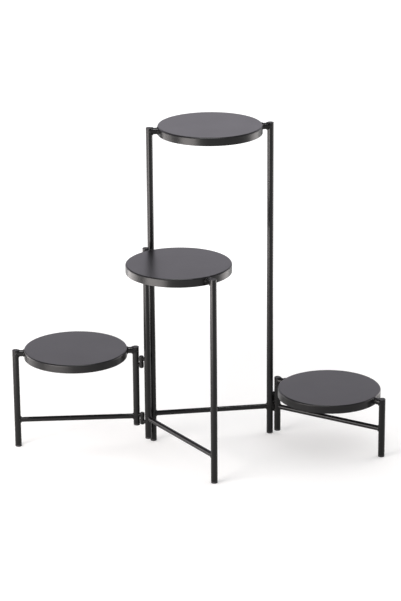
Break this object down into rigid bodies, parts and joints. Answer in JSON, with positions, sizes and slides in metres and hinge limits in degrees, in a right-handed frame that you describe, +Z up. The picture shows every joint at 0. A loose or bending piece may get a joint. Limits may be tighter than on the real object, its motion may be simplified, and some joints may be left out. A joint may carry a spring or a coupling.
{
  "type": "tiered plant stand",
  "caption": "Folding tiered plant stand: hinged tube frames of stepped height, each with a round pressed tray.",
  "frame": {"origin": "middle of the rectangle that the stand covers, on the floor, with the frames as the picture shows them", "axes": "+Z up; +X along the top frame, from the lower tiers' side to the bottom tier's; the camera looks along +Y, a little to the side"},
  "size_m": [0.777, 0.3772, 0.6985],
  "materials": {
    "frame_coating": "satin black powder coat",
    "tray_coating": "satin anthracite powder coat",
    "plug": "moulded black",
    "pin": "bright steel",
    "washer": "black nylon"
  },
  "bodies": {
    "top_frame": {"top_leg_left": "frame_coating", "top_cap_left": "plug", "top_foot_left": "plug", "top_leg_right": "frame_coating", "top_cap_right": "plug", "top_foot_right": "plug", "top_rail": "frame_coating", "top_crossbar": "frame_coating", "top_tray": "tray_coating", "upper_hinge_high_top_half": "frame_coating", "upper_hinge_low_base_half": "frame_coating", "upper_hinge_low_pin": "pin", "upper_hinge_low_washer": "washer", "bottom_hinge_base_half": "frame_coating", "bottom_hinge_pin": "pin", "bottom_hinge_washer": "washer"},
    "upper_frame": {"upper_leg_hinged": "frame_coating", "upper_cap_hinged": "plug", "upper_foot_hinged": "plug", "upper_leg_free": "frame_coating", "upper_cap_free": "plug", "upper_foot_free": "plug", "upper_rail": "frame_coating", "upper_crossbar": "frame_coating", "upper_tray": "tray_coating", "upper_hinge_high_base_half": "frame_coating", "upper_hinge_high_pin": "pin", "upper_hinge_high_washer": "washer", "upper_hinge_low_top_half": "frame_coating", "lower_hinge_high_top_half": "frame_coating", "lower_hinge_low_base_half": "frame_coating", "lower_hinge_low_pin": "pin", "lower_hinge_low_washer": "washer"},
    "lower_frame": {"lower_leg_hinged": "frame_coating", "lower_cap_hinged": "plug", "lower_foot_hinged": "plug", "lower_leg_free": "frame_coating", "lower_cap_free": "plug", "lower_foot_free": "plug", "lower_rail": "frame_coating", "lower_crossbar": "frame_coating", "lower_tray": "tray_coating", "lower_hinge_high_base_half": "frame_coating", "lower_hinge_high_pin": "pin", "lower_hinge_high_washer": "washer", "lower_hinge_low_top_half": "frame_coating"},
    "bottom_frame": {"bottom_leg_hinged": "frame_coating", "bottom_cap_hinged": "plug", "bottom_foot_hinged": "plug", "bottom_leg_free": "frame_coating", "bottom_cap_free": "plug", "bottom_foot_free": "plug", "bottom_rail": "frame_coating", "bottom_crossbar": "frame_coating", "bottom_tray": "tray_coating", "bottom_hinge_top_half": "frame_coating"}
  },
  "joints": [
    {"name": "upper_fold", "type": "hinge", "parent": "top_frame", "child": "upper_frame", "pos_m": [-0.10169, 0.06519, 0.2085], "axis": [0, 0, -1], "range_deg": [-65.5, 54.5]},
    {"name": "lower_fold", "type": "hinge", "parent": "upper_frame", "child": "lower_frame", "pos_m": [-0.11538, 0.05895, 0.1229], "axis": [0, 0, -1], "range_deg": [-119.5, 30.5]},
    {"name": "bottom_fold", "type": "hinge", "parent": "top_frame", "child": "bottom_frame", "pos_m": [0.17793, 0.08023, 0.07], "axis": [0, 0, -1], "range_deg": [-221, 9]}
  ]
}
